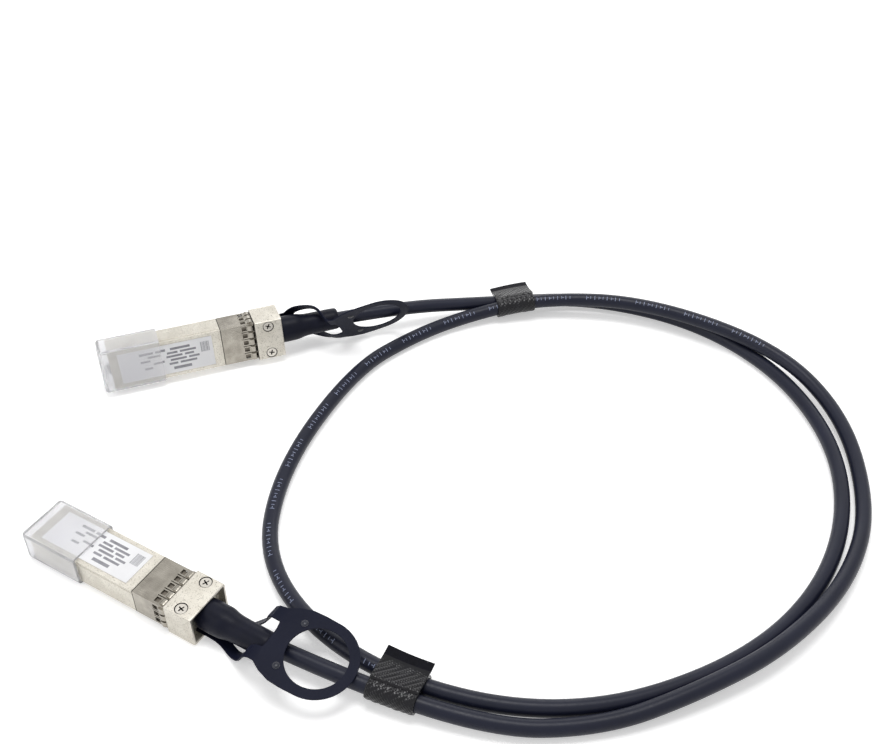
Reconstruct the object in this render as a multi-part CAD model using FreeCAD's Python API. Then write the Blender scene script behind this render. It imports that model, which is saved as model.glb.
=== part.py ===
import FreeCAD, Part
import math
import os

# Direct attach copper cable: two pluggable modules joined by one metre of twinaxial cable.
# Row frame: table at z = 0, origin under the middle of the box round the two plugs.
# Plug frame: +X towards the cable, +Z out of the label face, origin in the rear face.

Vec = FreeCAD.Vector

# ---- module, mm
MODULE_LENGTH = 56.5
MODULE_HALF_WIDTH = 6.75
MODULE_HALF_HEIGHT = 4.25
WALL = 1.0
PARTING_Z = 3.1
BLOCK_LENGTH = 9.04
BLOCK_HALF_WIDTH = 7.05
BLOCK_TOP = 5.44
BLOCK_PARTING_Z = 0.66
BLOCK_BOTTOM = -4.8
LATCH_COVER_THICKNESS = 0.38
PLUG_BOTTOM = BLOCK_BOTTOM - LATCH_COVER_THICKNESS
HOOD_DEPTH = 2.4
HOOD_HALF_WIDTH = 6.45
HOOD_TOP = 4.87
HOOD_BOTTOM = -4.3
CABLE_AXIS_Z = 0.3

# ---- screws
SCREW_X = -4.6
SCREW_Y = 4.95
SCREW_HEAD_RADIUS = 1.6
SCREW_RECESS_RADIUS = 1.78
SCREW_SHANK_RADIUS = 0.8
SCREW_HEAD_Z = 4.44

# ---- shielding collar
COLLAR_FRONT = -20.1
COLLAR_SHEET = 0.2
COLLAR_FINGER_FRONT = -13.5
FINGER_SLOT = 0.3
FINGER_BUMP = 0.55
FINGER_ROOM = 0.35

# ---- circuit board
BOARD_FRONT = -55.9
BOARD_REAR = -14.0
BOARD_HALF_WIDTH = 5.4
BOARD_TONGUE_HALF_WIDTH = 4.6
BOARD_THICKNESS = 1.0
BOARD_BOTTOM = CABLE_AXIS_Z - BOARD_THICKNESS / 2
PAD_COUNT = 10
PAD_PITCH = 0.8
PAD_THICKNESS = 0.05

# ---- cable end
CABLE_DIAMETER = 4.6
FERRULE_BARREL_RADIUS = 3.6
SLEEVE_WIDE_RADIUS = 4.45
SLEEVE_NARROW_RADIUS = 3.65
SLEEVE_LENGTH = 20.0
JACKET_END = -1.0
WIRE_RADIUS = 0.45

# ---- release slide and pull tab
SLIDE_TOP = -3.68
SLIDE_BOTTOM = -3.98
STRAP_TOP = -4.3
TAB_THICKNESS = 0.4
RING_HOLE_RADIUS = 8.24
RING_RADIUS = 11.0
RIVET_LINE = -7.7
RIVET_Y = 6.64
RIVET_RADIUS = 0.7
PLATE_FRONT = -13.2
ARM_ROOT = -13.6
ARM_INNER = 4.0
ARM_OUTER = 8.3
ARM_WIDTHS = [3.0, 2.9, 3.0, 3.2, ARM_OUTER - ARM_INNER]
ARM_SECTIONS = 16
STRAP_END = 1.5

# ---- dust cap
CAP_OPEN_END = -40.0
CAP_CLOSED_END = -59.5
CAP_WALL = 0.78
CAP_CLEARANCE = 0.12

# ---- hook-and-loop ties
TIE_WIDTH = 13.2
TIE_THICKNESS = 0.7
TIE_INNER_RADIUS = CABLE_DIAMETER / 2 + 0.2
TIE_FLAP = 1.2

# ---- where the plugs lie: rear face centre, then turn about Z and roll about the plug's own axis
PLUGS = {
    "plug_a": {
        "place": (8.5, 65.5, 8.4),
        "yaw": 20.4,
        "roll": 80.4,
        "tab_place": (31.9, 1.95, 7.95),
        "tab_turn": (15.6, -13.1, 34.6),
        "arm_low": [(8.5, -3.7, -4.3, 0), (13.2, -5.6, -2.6, -20), (17.0, -6.3, 0.4, -50)],
        "arm_high": [(5.2, 4.4, -3.2, 25), (9.6, 6.0, -0.9, 42), (13.4, 5.2, 2.6, 60)],
    },
    "plug_b": {
        "place": (3.7, -49.8, -PLUG_BOTTOM),
        "yaw": -29.6,
        "roll": 0.0,
        "tab_place": (33.4, 1.4, 3.5),
        "tab_turn": (2.8, 6.3, 6.4),
        "arm_low": [(8.8, -3.5, -4.4, 3), (12.6, -4.9, -3.1, 15), (15.6, -5.6, 0.9, -5)],
        "arm_high": [(8.4, 3.7, -4.2, 5), (12.0, 5.6, -1.5, -12), (15.2, 6.6, 2.3, -18)],
    },
}

# ---- the cable's route between its two sleeves, one point for each bend
ROUTE_MIDDLE = [
    (81.0, 88.1, 3.8),
    (116.5, 93.6, 2.3),
    (154.0, 79.6, 2.3),
    (179.0, 50.1, 2.3),
    (187.0, 10.6, 2.3),
    (174.0, -29.9, 2.3),
    (144.0, -60.4, 2.3),
    (95.5, -77.9, 2.3),
    (46.0, -66.4, 3.7),
    (15.0, -33.4, 2.3),
    (15.0, 6.1, 2.3),
    (34.0, 52.1, 2.3),
    (54.0, 71.1, 2.3),
    (73.0, 81.6, 3.2),
    (97.5, 87.6, 6.4),
    (134.5, 84.6, 7.8),
    (175.0, 61.6, 7.2),
    (191.5, 32.6, 3.4),
    (189.5, -6.4, 2.3),
    (175.5, -34.9, 3.8),
    (152.5, -57.9, 6.0),
    (128.0, -70.9, 4.8),
    (104.5, -79.4, 2.6),
    (75.5, -80.9, 3.3),
]
ROUTE_START_RUN = 38.0
ROUTE_END_RUN = 27.0
ARC_SHARE = 0.45

# ---- the ties: where each one sits on the bundle
TIES = {"tie_1": (87.7, 89.6), "tie_2": (54.5, -68.4)}


def span(x0, x1, y0, y1, z0, z1):
    return Part.makeBox(x1 - x0, y1 - y0, z1 - z0, Vec(x0, y0, z0))


def centred(x0, x1, half_y, z0, z1):
    return span(x0, x1, -half_y, half_y, z0, z1)


def rod(x0, x1, radius, y=0.0, z=CABLE_AXIS_Z):
    return Part.makeCylinder(radius, x1 - x0, Vec(x0, y, z), Vec(1, 0, 0))


def post(x, y, z0, z1, radius):
    return Part.makeCylinder(radius, z1 - z0, Vec(x, y, z0))


def side_profile(points, y0, y1):
    corners = [Vec(x, y0, z) for x, z in points]
    face = Part.Face(Part.makePolygon(corners + corners[:1]))
    return face.extrude(Vec(0, y1 - y0, 0))


def turned(points):
    """A solid turned about the cable axis from (x, radius) points."""
    corners = [Vec(x, 0, CABLE_AXIS_Z + radius) for x, radius in points]
    face = Part.Face(Part.makePolygon(corners + corners[:1]))
    return face.revolve(Vec(0, 0, CABLE_AXIS_Z), Vec(1, 0, 0), 360)


def joined(shapes):
    whole = shapes[0].multiFuse(shapes[1:]) if len(shapes) > 1 else shapes[0]
    return whole.removeSplitter()


def both_sides(shape):
    return [shape, shape.mirror(Vec(0, 0, 0), Vec(0, 1, 0))]


def collar_recess():
    """The shallow seat that the shielding collar wraps round, deeper under its fingers."""
    outer = centred(COLLAR_FRONT, -BLOCK_LENGTH, MODULE_HALF_WIDTH + 1, -9, 9)
    half_y = MODULE_HALF_WIDTH - COLLAR_SHEET - 0.02
    half_z = MODULE_HALF_HEIGHT - COLLAR_SHEET - 0.02
    seat = outer.cut(centred(COLLAR_FRONT - 1, 0, half_y, -half_z, half_z))
    groove = centred(COLLAR_FINGER_FRONT, -BLOCK_LENGTH, MODULE_HALF_WIDTH + 1, -9, 9)
    half_y -= FINGER_ROOM
    half_z -= FINGER_ROOM
    return seat.fuse(groove.cut(centred(COLLAR_FINGER_FRONT - 1, 0, half_y, -half_z, half_z)))


def cable_passage():
    """The space inside the rear block for the ferrule, its flange, the wires and the sleeve's end."""
    return joined([
        rod(-12.0, -6.0, 2.4),
        rod(-8.1, -6.7, 4.05),
        rod(-6.8, 1.0, FERRULE_BARREL_RADIUS + 0.05),
        centred(-HOOD_DEPTH, 1.0, HOOD_HALF_WIDTH, HOOD_BOTTOM, HOOD_TOP),
    ])


def housing_base():
    front = -MODULE_LENGTH
    tub = centred(front, -BLOCK_LENGTH, MODULE_HALF_WIDTH, -MODULE_HALF_HEIGHT, PARTING_Z)
    tub = tub.cut(centred(front - 1, -10.2, MODULE_HALF_WIDTH - WALL, -3.1, PARTING_Z + 1))
    ledge = span(-50.0, -15.0, 4.7, MODULE_HALF_WIDTH - WALL, -3.1, BOARD_BOTTOM)
    block = centred(-BLOCK_LENGTH, 0, BLOCK_HALF_WIDTH, BLOCK_BOTTOM, BLOCK_PARTING_Z)
    body = joined([tub, block] + both_sides(ledge))
    slide_bed = centred(-30.0, 1.0, 3.5, -9, SLIDE_TOP + 0.08)
    latch_boss = side_profile([(-29.2, -3.6), (-29.2, -3.9), (-25.2, -5.0), (-25.2, -3.6)], -1.3, 1.3)
    screw_holes = [post(SCREW_X, s * SCREW_Y, -2.6, 5, SCREW_SHANK_RADIUS) for s in (-1, 1)]
    cuts = [collar_recess(), cable_passage(), slide_bed] + screw_holes
    return joined([body.cut(cuts), latch_boss])


def housing_cover():
    front = -MODULE_LENGTH
    step_z = PARTING_Z + 0.3
    lid_top = centred(front, -BLOCK_LENGTH, MODULE_HALF_WIDTH, step_z, MODULE_HALF_HEIGHT)
    lid_step = centred(front, -BLOCK_LENGTH, MODULE_HALF_WIDTH - 0.2, PARTING_Z, step_z)
    rim = centred(-54.0, -12.0, 5.65, 2.4, PARTING_Z)
    rim = rim.cut(centred(-53.0, -13.0, 4.8, 2.0, 4.0))
    block = centred(-BLOCK_LENGTH, 0, BLOCK_HALF_WIDTH, BLOCK_PARTING_Z, BLOCK_TOP)
    body = joined([lid_top, lid_step, rim, block])
    label_seat = centred(-54.0, -23.0, 5.6, MODULE_HALF_HEIGHT - 0.15, 9)
    screw_cuts = []
    for s in (-1, 1):
        screw_cuts.append(post(SCREW_X, s * SCREW_Y, 0, 9, SCREW_SHANK_RADIUS + 0.05))
        screw_cuts.append(post(SCREW_X, s * SCREW_Y, SCREW_HEAD_Z, 9, SCREW_RECESS_RADIUS))
    body = body.cut([collar_recess(), cable_passage(), label_seat] + screw_cuts)
    top_edges = [
        e for e in body.Edges
        if abs(e.BoundBox.ZMin - BLOCK_TOP) < 1e-6 and abs(e.BoundBox.ZMax - BLOCK_TOP) < 1e-6
        and e.Length > 8 and not isinstance(e.Curve, Part.Circle)
    ]
    return body.makeFillet(0.35, top_edges)


def latch_cover():
    plate = centred(-BLOCK_LENGTH, 0, BLOCK_HALF_WIDTH, PLUG_BOTTOM, BLOCK_BOTTOM)
    corners = [
        e for e in plate.Edges
        if abs(e.BoundBox.ZLength - LATCH_COVER_THICKNESS) < 1e-4 and e.BoundBox.XMin > -1
    ]
    return plate.makeFillet(0.8, corners)


def housing_screws():
    screws = []
    for s in (-1, 1):
        y = s * SCREW_Y
        head = post(SCREW_X, y, SCREW_HEAD_Z, BLOCK_TOP - 0.12, SCREW_HEAD_RADIUS)
        shank = post(SCREW_X, y, -2.5, SCREW_HEAD_Z, SCREW_SHANK_RADIUS)
        screw = joined([head, shank])
        turn = 25 + 40 * s
        for angle in (turn, turn + 90):
            slot = centred(-0.95, 0.95, 0.19, BLOCK_TOP - 0.7, BLOCK_TOP)
            slot.rotate(Vec(0, 0, 0), Vec(0, 0, 1), angle)
            slot.translate(Vec(SCREW_X, y, 0))
            screw = screw.cut(slot)
        screws.append(screw)
    return Part.makeCompound(screws)


def finger_lens(width):
    """One bent contact spring, standing out of a sheet that lies in z = 0."""
    chord = Part.LineSegment(Vec(-9.15, 0, 0), Vec(-11.3, 0, 0))
    bow = Part.Arc(Vec(-11.3, 0, 0), Vec(-10.3, 0, FINGER_BUMP), Vec(-9.15, 0, 0))
    face = Part.Face(Part.Wire([chord.toShape(), bow.toShape()]))
    lens = face.extrude(Vec(0, width, 0))
    lens.translate(Vec(0, -width / 2, 0))
    return lens


def emi_collar():
    rear = -BLOCK_LENGTH - 0.06
    collar = centred(COLLAR_FRONT + 0.05, rear, MODULE_HALF_WIDTH, -MODULE_HALF_HEIGHT, MODULE_HALF_HEIGHT)
    half_y = MODULE_HALF_WIDTH - COLLAR_SHEET
    half_z = MODULE_HALF_HEIGHT - COLLAR_SHEET
    collar = collar.cut(centred(COLLAR_FRONT - 1, 0, half_y, -half_z, half_z))
    lenses = []
    cuts = []
    faces = [(0, 5, 2 * half_y), (180, 5, 2 * half_y), (90, 3, 2 * half_z), (270, 3, 2 * half_z)]
    for angle, count, width in faces:
        pitch = width / count
        height = MODULE_HALF_HEIGHT if angle in (0, 180) else MODULE_HALF_WIDTH
        for i in range(count):
            y = (i - (count - 1) / 2) * pitch
            lens = finger_lens(pitch - 0.75)
            lens.translate(Vec(0, y, height))
            window = span(-13.2, -11.6, y - pitch / 2 + 0.55, y + pitch / 2 - 0.55, height - 1, height + 1)
            pieces = [(lens, lenses), (window, cuts)]
            if i:
                gap = y - pitch / 2
                slot = span(COLLAR_FINGER_FRONT, rear + 1, gap - FINGER_SLOT / 2, gap + FINGER_SLOT / 2,
                            height - 1, height + 1)
                pieces.append((slot, cuts))
            for shape, group in pieces:
                shape.rotate(Vec(0, 0, 0), Vec(1, 0, 0), angle)
                group.append(shape)
    slide_gate = centred(COLLAR_FRONT - 1, rear + 1, 3.3, -3.9, -3.0)
    return joined([collar.cut(cuts)] + lenses).cut(slide_gate)


def circuit_board():
    top = BOARD_BOTTOM + BOARD_THICKNESS
    tongue = centred(BOARD_FRONT, -49.0, BOARD_TONGUE_HALF_WIDTH, BOARD_BOTTOM, top)
    main = centred(-49.0, BOARD_REAR, BOARD_HALF_WIDTH, BOARD_BOTTOM, top)
    return joined([tongue, main])


def contact_pads():
    pads = []
    for z in (BOARD_BOTTOM - PAD_THICKNESS, BOARD_BOTTOM + BOARD_THICKNESS):
        for i in range(PAD_COUNT):
            y = (i - (PAD_COUNT - 1) / 2) * PAD_PITCH
            pads.append(span(-55.6, -52.0, y - 0.3, y + 0.3, z, z + PAD_THICKNESS))
    return Part.makeCompound(pads)


def board_chips():
    top = BOARD_BOTTOM + BOARD_THICKNESS
    chips = [
        centred(-41.0, -37.0, 2.0, top, top + 0.9),
        span(-32.5, -29.5, -3.4, -1.4, top, top + 0.75),
    ]
    for i in range(4):
        x = -27.0 + 2.2 * i
        chips.append(span(x, x + 1.0, 2.2, 2.75, top, top + 0.5))
    return Part.makeCompound(chips)


def inner_wires():
    wires = []
    for y in (-0.9, 0.9):
        for z in (-1, 1):
            height = CABLE_AXIS_Z + z * (BOARD_THICKNESS / 2 + WIRE_RADIUS)
            wires.append(rod(-17.0, JACKET_END, WIRE_RADIUS, y, height))
    return Part.makeCompound(wires)


def crimp_ferrule():
    bore = CABLE_DIAMETER / 2 + 0.02
    return turned([
        (-8.0, 2.0), (-8.0, 3.95), (-6.8, 3.95), (-6.8, FERRULE_BARREL_RADIUS),
        (5.0, FERRULE_BARREL_RADIUS), (5.0, bore), (JACKET_END, bore), (JACKET_END, 2.0),
    ])


def heat_shrink():
    bore = CABLE_DIAMETER / 2 + 0.15
    inner = FERRULE_BARREL_RADIUS + 0.02
    return turned([
        (-2.2, inner), (-2.2, SLEEVE_WIDE_RADIUS), (5.6, SLEEVE_WIDE_RADIUS), (6.6, 4.3), (8.2, 3.8),
        (9.2, SLEEVE_NARROW_RADIUS), (SLEEVE_LENGTH, SLEEVE_NARROW_RADIUS), (SLEEVE_LENGTH, bore),
        (5.1, bore), (5.1, inner),
    ])


def release_slide():
    plate = centred(-21.0, -5.0, 3.2, SLIDE_BOTTOM, SLIDE_TOP)
    arm = span(-28.0, -21.0, 1.8, 3.2, SLIDE_BOTTOM, SLIDE_TOP)
    ramp = side_profile([(-28.0, SLIDE_BOTTOM), (-26.6, -4.7), (-26.0, SLIDE_BOTTOM)], 1.8, 3.2)
    lug = centred(-6.7, -5.8, 1.2, STRAP_TOP - TAB_THICKNESS, SLIDE_BOTTOM)
    return joined([plate, lug] + both_sides(arm) + both_sides(ramp))


def tab_placement(plug):
    yaw, pitch, roll = plug["tab_turn"]
    return FreeCAD.Placement(Vec(*plug["tab_place"]), FreeCAD.Rotation(yaw, pitch, roll))


def ribbon_section(centre, along, across, width):
    """The four corners of a ribbon cut square to its run."""
    along.normalize()
    across = across - along * across.dot(along)
    across.normalize()
    u = across * (width / 2)
    v = along.cross(across) * (TAB_THICKNESS / 2)
    return [centre - u - v, centre + u - v, centre + u + v, centre - u + v]


def ribbon_solid(sections):
    """A solid strip through a row of four-cornered sections, its sides in flat triangles."""
    outlines = [sections[0][::-1], sections[-1]]
    for near, far in zip(sections, sections[1:]):
        for k in range(4):
            n = (k + 1) % 4
            outlines.append([near[k], near[n], far[n]])
            outlines.append([near[k], far[n], far[k]])
    shell = Part.makeShell([Part.Face(Part.makePolygon(o + o[:1])) for o in outlines])
    shell.sewShape()
    return Part.makeSolid(shell)


def between(values, share):
    """A value part of the way along a row of evenly spaced stations."""
    place = share * (len(values) - 1)
    i = min(int(place), len(values) - 2)
    return values[i] + (values[i + 1] - values[i]) * (place - i)


def tab_arm(side, stations, placement):
    """A twisted ribbon from the strap under the plug, round the sleeve, up to the ring plate."""
    turn = placement.Rotation
    end = placement.multVec(Vec(ARM_ROOT, side * (ARM_INNER + ARM_OUTER) / 2, 0))
    centres = [Vec(STRAP_END, side * 1.9, STRAP_TOP - TAB_THICKNESS / 2)]
    centres += [Vec(x, y, z) for x, y, z, tilt in stations]
    centres.append(end)
    tilts = [0] + [math.radians(tilt) for x, y, z, tilt in stations]
    acrosses = [Vec(0, side * math.cos(a), math.sin(a)) for a in tilts]
    acrosses.append(turn.multVec(Vec(0, side, 0)))
    curve = Part.BSplineCurve()
    curve.interpolate(
        Points=centres, Parameters=[float(i) for i in range(len(centres))],
        InitialTangent=Vec(3.0, 0, 0), FinalTangent=turn.multVec(Vec(3.0, 0, 0)),
    )
    sections = []
    for i in range(ARM_SECTIONS + 1):
        share = i / ARM_SECTIONS
        where = share * (len(centres) - 1)
        width = between(ARM_WIDTHS, share)
        sections.append(ribbon_section(curve.value(where), curve.tangent(where)[0], between(acrosses, share), width))
    return ribbon_solid(sections)


def ring_plate(placement):
    """The flat die-cut plate: a finger ring with a shoulder that carries the two rivets."""
    half = [
        (PLATE_FRONT, 0.0), (PLATE_FRONT - 0.05, 2.0), (PLATE_FRONT - 0.2, 3.2), (ARM_ROOT, ARM_INNER),
        (ARM_ROOT, ARM_OUTER), (-12.6, 8.9), (-11.0, 9.8), (-7.5, 10.9), (-3.8, 11.1), (0.0, RING_RADIUS),
    ]
    low = -TAB_THICKNESS / 2
    corners = [Vec(x, -y, low) for x, y in reversed(half)] + [Vec(x, y, low) for x, y in half[1:]]
    bend = Part.Arc(corners[-1], Vec(RING_RADIUS, 0, low), corners[0])
    outline = Part.Wire(Part.makePolygon(corners).Edges + [bend.toShape()])
    plate = Part.Face(outline).extrude(Vec(0, 0, TAB_THICKNESS))
    holes = [post(0, 0, -1, 1, RING_HOLE_RADIUS)]
    holes += [post(RIVET_LINE, s * RIVET_Y, -1, 1, RIVET_RADIUS) for s in (-1, 1)]
    plate = plate.cut(holes)
    plate.Placement = placement
    return plate


def pull_tab(plug):
    placement = tab_placement(plug)
    strap = centred(-8.0, STRAP_END, 3.4, STRAP_TOP - TAB_THICKNESS, STRAP_TOP)
    strap = strap.cut(centred(-6.75, -5.75, 1.25, -6, -3))
    arms = [tab_arm(-1, plug["arm_low"], placement), tab_arm(1, plug["arm_high"], placement)]
    return strap.multiFuse(arms + [ring_plate(placement)])


def tab_rivets(plug):
    rivets = []
    for s in (-1, 1):
        y = s * RIVET_Y
        half = TAB_THICKNESS / 2
        shank = post(RIVET_LINE, y, -half, half, RIVET_RADIUS)
        heads = [
            post(RIVET_LINE, y, half, half + 0.3, 1.0),
            post(RIVET_LINE, y, -half - 0.25, -half, 1.0),
        ]
        rivets.append(joined([shank] + heads))
    group = Part.makeCompound(rivets)
    group.Placement = tab_placement(plug)
    return group


def face_label():
    z = MODULE_HALF_HEIGHT - 0.15
    return centred(-53.7, -23.3, 5.4, z, z + 0.12)


def dust_cap():
    inner_y = MODULE_HALF_WIDTH + CAP_CLEARANCE
    inner_z = MODULE_HALF_HEIGHT + CAP_CLEARANCE
    outer_y = inner_y + CAP_WALL
    outer_z = inner_z + CAP_WALL
    shell = centred(CAP_CLOSED_END, CAP_OPEN_END, outer_y, -outer_z, outer_z)
    rounded = [e for e in shell.Edges if e.BoundBox.XLength > 1 or e.BoundBox.XMax < CAP_CLOSED_END + 0.1]
    shell = shell.makeFillet(1.2, rounded)
    return shell.cut(centred(CAP_CLOSED_END + 1.1, 0, inner_y, -inner_z, inner_z))


def plug_placement(plug):
    turn = FreeCAD.Rotation(plug["yaw"], 0, plug["roll"])
    return FreeCAD.Placement(Vec(*plug["place"]), turn)


def plug_pieces(plug):
    return {
        "housing_base": housing_base(),
        "housing_cover": housing_cover(),
        "latch_cover": latch_cover(),
        "screws": housing_screws(),
        "emi_collar": emi_collar(),
        "circuit_board": circuit_board(),
        "contact_pads": contact_pads(),
        "board_chips": board_chips(),
        "inner_wires": inner_wires(),
        "crimp_ferrule": crimp_ferrule(),
        "heat_shrink": heat_shrink(),
        "release_slide": release_slide(),
        "pull_tab": pull_tab(plug),
        "tab_rivets": tab_rivets(plug),
        "label": face_label(),
        "dust_cap": dust_cap(),
    }


def route_points():
    """The whole route: straight out of plug A, round the loops, straight into plug B."""
    start = plug_placement(PLUGS["plug_a"])
    end = plug_placement(PLUGS["plug_b"])
    head = [start.multVec(Vec(x, 0, CABLE_AXIS_Z)) for x in (JACKET_END, JACKET_END + ROUTE_START_RUN)]
    tail = [end.multVec(Vec(x, 0, CABLE_AXIS_Z)) for x in (JACKET_END + ROUTE_END_RUN, JACKET_END)]
    return head + [Vec(*p) for p in ROUTE_MIDDLE] + tail


def cable_path(points):
    """Straight runs joined by tangent arcs, each as large as its two runs allow."""
    edges = []
    last = points[0]
    for before, corner, after in zip(points, points[1:], points[2:]):
        back = before - corner
        ahead = after - corner
        setback = ARC_SHARE * min(back.Length, ahead.Length)
        half_turn = (math.pi - back.getAngle(ahead)) / 2
        radius = setback / math.tan(half_turn)
        back.normalize()
        ahead.normalize()
        middle = back + ahead
        middle.normalize()
        first = corner + back * setback
        second = corner + ahead * setback
        top = corner + middle * (radius / math.cos(half_turn) - radius)
        edges.append(Part.LineSegment(last, first).toShape())
        edges.append(Part.Arc(first, top, second).toShape())
        last = second
        print("bend radius %.1f mm, turn %.1f degrees" % (radius, 2 * math.degrees(half_turn)))
    edges.append(Part.LineSegment(last, points[-1]).toShape())
    return Part.Wire(edges)


def cable_tube(path, points):
    radius = CABLE_DIAMETER / 2
    section = Part.Wire(Part.Circle(points[0], points[1] - points[0], radius).toShape())
    tube = path.makePipeShell([section], True, False)
    ideal = math.pi * radius ** 2 * path.Length
    print("cable length %.1f mm, volume %.0f of %.0f mm3" % (path.Length, tube.Volume, ideal))
    return tube


def strand_centres(path, place, along):
    """Where the two strands of the bundle pass through the plane at a place, nearer one first."""
    spots = path.discretize(Distance=0.25)
    found = []
    for p in spots:
        offset = p - Vec(place.x, place.y, p.z)
        if abs(offset.dot(along)) < 0.15 and offset.Length < 12:
            if all((p - q).Length > 2 for q in found):
                found.append(p)
    across = Vec(-along.y, along.x, 0)
    return sorted(found, key=lambda p: p.dot(across))


def bundle_axes(near, far, along):
    """Across the bundle from the nearer strand to the farther one, and square to that."""
    line = far - near
    line = line - along * line.dot(along)
    line.normalize()
    return line, along.cross(line)


def strap_ring(near, far, along, radius):
    """An oval wire round two strand centres, in the plane across the bundle."""
    line, up = bundle_axes(near, far, along)
    arcs = [
        Part.Arc(far + up * radius, far + line * radius, far - up * radius),
        Part.LineSegment(far - up * radius, near - up * radius),
        Part.Arc(near - up * radius, near - line * radius, near + up * radius),
        Part.LineSegment(near + up * radius, far + up * radius),
    ]
    return Part.Wire([a.toShape() for a in arcs])


def strap_flap(near, far, along):
    """The strap's free end, pressed on top of the loop and standing past its far side."""
    line, up = bundle_axes(near, far, along)
    low = up * (TIE_INNER_RADIUS + TIE_THICKNESS)
    top = far + low
    tip = top + line * (TIE_INNER_RADIUS + TIE_THICKNESS + TIE_FLAP) - up * 0.3
    corners = [near + low, top, tip, tip + up * TIE_THICKNESS, top + up * TIE_THICKNESS,
               near + low + up * TIE_THICKNESS]
    return Part.makePolygon(corners + corners[:1])


def cable_tie(path, place):
    spot = Vec(place[0], place[1], 0)
    samples = [p for p in path.discretize(Distance=1.0) if (Vec(p.x, p.y, 0) - spot).Length < 9]
    along = samples[-1] - samples[-2]
    along = Vec(along.x, along.y, 0)
    along.normalize()
    stations = []
    for offset in (-TIE_WIDTH / 2, 0, TIE_WIDTH / 2):
        centre = spot + along * offset
        near, far = strand_centres(path, centre, along)
        near = near - along * (near - centre).dot(along)
        far = far - along * (far - centre).dot(along)
        stations.append((near, far))
    outside = TIE_INNER_RADIUS + TIE_THICKNESS
    outer = Part.makeLoft([strap_ring(n, f, along, outside) for n, f in stations], True, True)
    inner = Part.makeLoft([strap_ring(n, f, along, TIE_INNER_RADIUS) for n, f in stations], True, True)
    flap = Part.makeLoft([strap_flap(n, f, along) for n, f in stations], True, True)
    return joined([outer, flap]).cut(inner)


def save(shape, node):
    shape.exportStep("parts/%s.step" % node)
    if not shape.isValid():
        print("not valid:", node)


def main():
    os.makedirs("parts", exist_ok=True)
    for name, plug in PLUGS.items():
        for piece, shape in plug_pieces(plug).items():
            shape.Placement = plug_placement(plug).multiply(shape.Placement)
            save(shape, "%s_%s" % (name, piece))
    points = route_points()
    path = cable_path(points)
    save(cable_tube(path, points), "cable")
    for name, place in TIES.items():
        save(cable_tie(path, place), name)


main()
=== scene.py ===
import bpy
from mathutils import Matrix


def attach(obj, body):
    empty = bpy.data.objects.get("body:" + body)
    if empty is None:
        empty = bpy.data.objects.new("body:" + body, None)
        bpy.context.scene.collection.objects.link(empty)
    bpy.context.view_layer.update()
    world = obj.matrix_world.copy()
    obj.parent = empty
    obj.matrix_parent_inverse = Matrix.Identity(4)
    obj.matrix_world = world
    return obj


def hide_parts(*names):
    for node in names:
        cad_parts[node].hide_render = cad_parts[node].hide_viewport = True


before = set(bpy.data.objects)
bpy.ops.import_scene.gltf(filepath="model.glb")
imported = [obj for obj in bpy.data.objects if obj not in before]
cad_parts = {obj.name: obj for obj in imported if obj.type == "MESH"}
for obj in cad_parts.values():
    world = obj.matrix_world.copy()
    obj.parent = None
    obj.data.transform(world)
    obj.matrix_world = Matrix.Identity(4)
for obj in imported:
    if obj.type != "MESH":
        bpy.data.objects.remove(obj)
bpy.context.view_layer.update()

import bmesh
import bpy
import math
from mathutils import Euler, Matrix, Vector

MM = 0.001


# ---- The table, the light and the viewpoint. A white sweep under and behind the cable,
# lit by broad soft lamps, with the camera standing at the near side and looking down.

def soft_lamp(name, where, aim, size, watts):
    data = bpy.data.lights.new(name, "AREA")
    data.shape = "RECTANGLE"
    data.size, data.size_y = size
    data.energy = watts
    lamp = bpy.data.objects.new(name, data)
    bpy.context.collection.objects.link(lamp)
    lamp.location = where
    lamp.rotation_euler = (Vector(aim) - Vector(where)).to_track_quat("-Z", "Y").to_euler()


soft_lamp("lamp_over", (0.05, 0.06, 0.80), (0.06, 0.0, 0.0), (0.40, 0.30), 2.95)
soft_lamp("lamp_left", (-0.75, -0.25, 0.45), (0.03, 0.0, 0.0), (0.6, 0.6), 1.6)
soft_lamp("lamp_back", (0.25, 0.80, 0.40), (0.06, 0.0, 0.0), (0.9, 0.4), 1.6)


def seen_directly(tree):
    """1 where the viewpoint, a shiny surface or a clear one looks at it, else 0."""
    rays = tree.nodes.new("ShaderNodeLightPath")
    seen = rays.outputs["Is Camera Ray"]
    for name in ("Is Glossy Ray", "Is Transmission Ray"):
        either = tree.nodes.new("ShaderNodeMath")
        either.operation = "ADD"
        either.use_clamp = True
        tree.links.new(seen, either.inputs[0])
        tree.links.new(rays.outputs[name], either.inputs[1])
        seen = either.outputs[0]
    return seen


SKY_LIGHT = 0.47
PAPER_GLOW = 0.40

world = bpy.data.worlds.new("studio_white")
bpy.context.scene.world = world
world.use_nodes = True
sky = world.node_tree
level = sky.nodes.new("ShaderNodeMapRange")
level.inputs["To Min"].default_value = SKY_LIGHT
level.inputs["To Max"].default_value = 1.0
sky.links.new(seen_directly(sky), level.inputs["Value"])
sky.links.new(level.outputs[0], sky.nodes["Background"].inputs["Strength"])
sky.nodes["Background"].inputs["Color"].default_value = (1, 1, 1, 1)

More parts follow.
